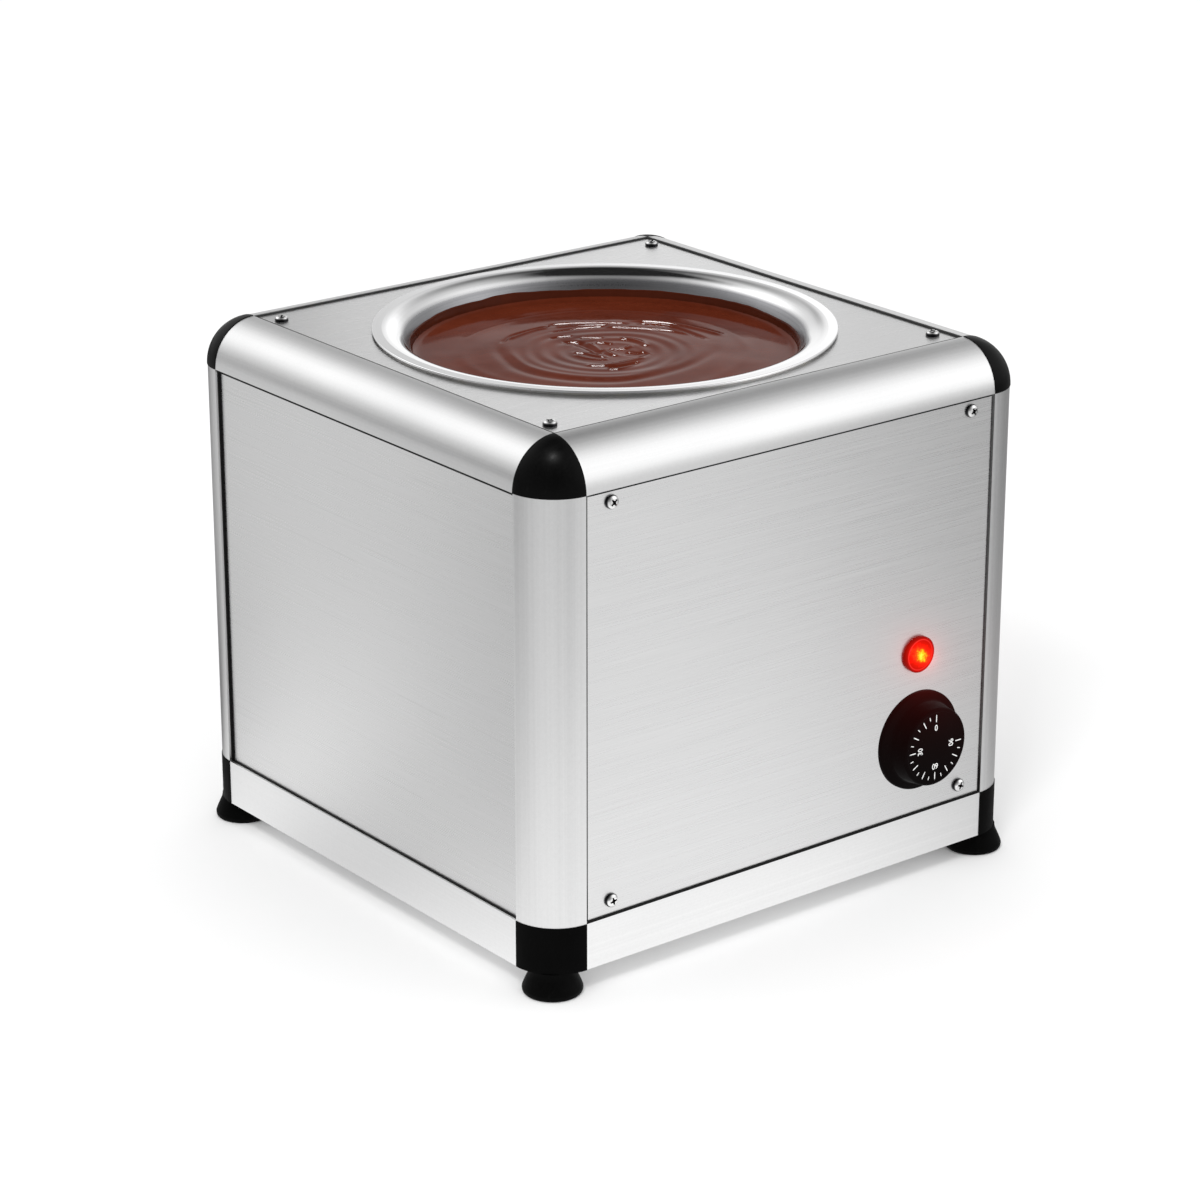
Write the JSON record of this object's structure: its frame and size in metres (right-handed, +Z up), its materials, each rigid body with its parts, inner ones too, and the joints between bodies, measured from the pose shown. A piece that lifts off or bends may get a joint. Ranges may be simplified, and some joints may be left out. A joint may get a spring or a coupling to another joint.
{
  "type": "chocolate melter",
  "caption": "Square countertop chocolate melter with quarter-round metal edges, a lift-out round pot of melted chocolate, a dial thermostat knob and a red pilot lamp.",
  "frame": {"origin": "on the table under the middle of the housing, at the bottom centre of the bounding box", "axes": "+Z up, the front with the knob and lamp faces -Y, +X to the right seen from the front"},
  "size_m": [0.2812, 0.3004, 0.2544],
  "materials": {
    "satin_extrusion": "satin anodised",
    "base_extrusion": "matte anodised, pale",
    "black_cap": "moulded nylon, soft gloss",
    "foot_rubber": "moulded rubber",
    "zinc_fasteners": "zinc plated",
    "brushed_panel": "fine horizontal brushing",
    "bottom_sheet": "mill finish",
    "black_gasket": "soft black strip",
    "screw_steel": "bright",
    "well_steel": "satin",
    "silicone_heater": "silicone mat",
    "mineral_wool": "glass wool blanket",
    "thermostat_housing": "ceramic-filled moulding",
    "copper_capillary": "drawn copper",
    "cutout_body": "phenolic moulding",
    "lamp_red": "lit red lens",
    "lamp_housing": "moulded nylon",
    "terminal_plastic": "moulded polyamide",
    "wire_insulation": "silicone insulation",
    "gland_plastic": "moulded nylon",
    "pot_steel": "polished stainless steel",
    "chocolate": "melted, glossy",
    "knob_black": "fine moulded black, white dial print",
    "spindle_steel": "turned"
  },
  "bodies": {
    "housing": {"corner_post_front_left": "satin_extrusion", "corner_post_front_right": "satin_extrusion", "corner_post_back_left": "satin_extrusion", "corner_post_back_right": "satin_extrusion", "top_rail_front": "satin_extrusion", "top_rail_back": "satin_extrusion", "top_rail_left": "satin_extrusion", "top_rail_right": "satin_extrusion", "base_rail_front": "base_extrusion", "base_rail_back": "base_extrusion", "base_rail_left": "base_extrusion", "base_rail_right": "base_extrusion", "top_corner_cap_front_left": "black_cap", "top_corner_cap_front_right": "black_cap", "top_corner_cap_back_left": "black_cap", "top_corner_cap_back_right": "black_cap", "base_corner_cap_front_left": "black_cap", "base_corner_cap_front_right": "black_cap", "base_corner_cap_back_left": "black_cap", "base_corner_cap_back_right": "black_cap", "foot_front_left": "foot_rubber", "foot_front_right": "foot_rubber", "foot_back_left": "foot_rubber", "foot_back_right": "foot_rubber", "foot_studs": "zinc_fasteners", "front_panel": "brushed_panel", "back_panel": "brushed_panel", "left_panel": "brushed_panel", "right_panel": "brushed_panel", "top_panel": "brushed_panel", "bottom_plate": "bottom_sheet", "front_panel_gasket": "black_gasket", "back_panel_gasket": "black_gasket", "top_panel_gasket": "black_gasket", "left_panel_trim": "black_gasket", "right_panel_trim": "black_gasket", "panel_screws": "screw_steel", "bottom_plate_screws": "screw_steel", "well": "well_steel", "heating_band": "silicone_heater", "insulation_jacket": "mineral_wool", "thermostat_body": "thermostat_housing", "thermostat_screws": "screw_steel", "capillary_bulb": "copper_capillary", "thermal_cutout": "cutout_body", "lamp_lens": "lamp_red", "lamp_body": "lamp_housing", "lamp_nut": "zinc_fasteners", "terminal_block": "terminal_plastic", "internal_wiring": "wire_insulation", "gland_body": "gland_plastic", "gland_locknut": "gland_plastic", "gland_dome_nut": "gland_plastic", "gland_seal": "black_gasket"},
    "pot_assembly": {"pot": "pot_steel", "melted_chocolate": "chocolate", "chocolate_film": "chocolate"},
    "control_knob": {"knob": "knob_black", "thermostat_spindle": "spindle_steel"}
  },
  "joints": [
    {"name": "pot_lift", "type": "slide", "parent": "housing", "child": "pot_assembly", "axis": [0, 0, 1], "range_m": [0, 0.15]},
    {"name": "knob_turn", "type": "hinge", "parent": "housing", "child": "control_knob", "pos_m": [0.0756, -0.1362, 0.0723], "axis": [0, 1, 0], "range_deg": [0, 270]}
  ]
}
